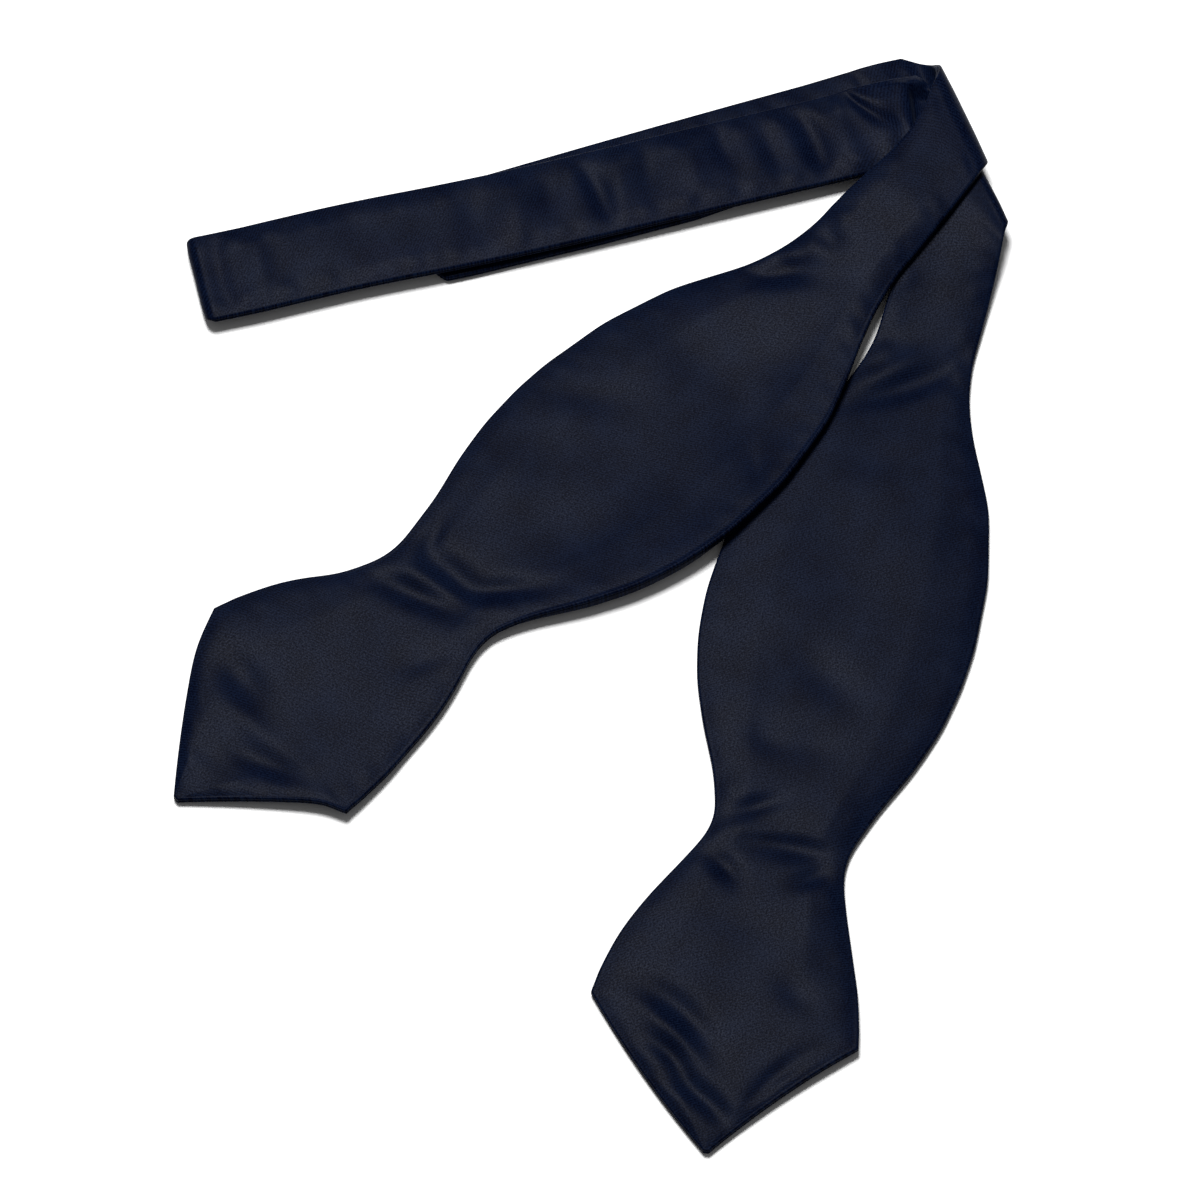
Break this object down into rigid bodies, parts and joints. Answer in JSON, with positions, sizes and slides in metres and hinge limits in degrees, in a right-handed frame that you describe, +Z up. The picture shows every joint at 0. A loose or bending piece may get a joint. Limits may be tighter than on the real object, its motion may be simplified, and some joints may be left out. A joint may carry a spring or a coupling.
{
  "type": "diamond point self-tie bow tie",
  "caption": "Untied diamond point bow tie in dark navy satin, laid flat with its neckband folded and its shaped blades spread.",
  "frame": {"origin": "on the table, under the middle of the outline of the folded tie", "axes": "+Z up from the table, +X to the viewer's right, +Y away from the viewer towards the neckband"},
  "size_m": [0.2096, 0.3114, 0.0104],
  "materials": {
    "satin": "dark navy silk satin with a soft sheen"
  },
  "bodies": {
    "root": {"upper_half_face": "satin", "upper_half_back": "satin", "lower_half_face": "satin", "lower_half_back": "satin"}
  },
  "joints": []
}
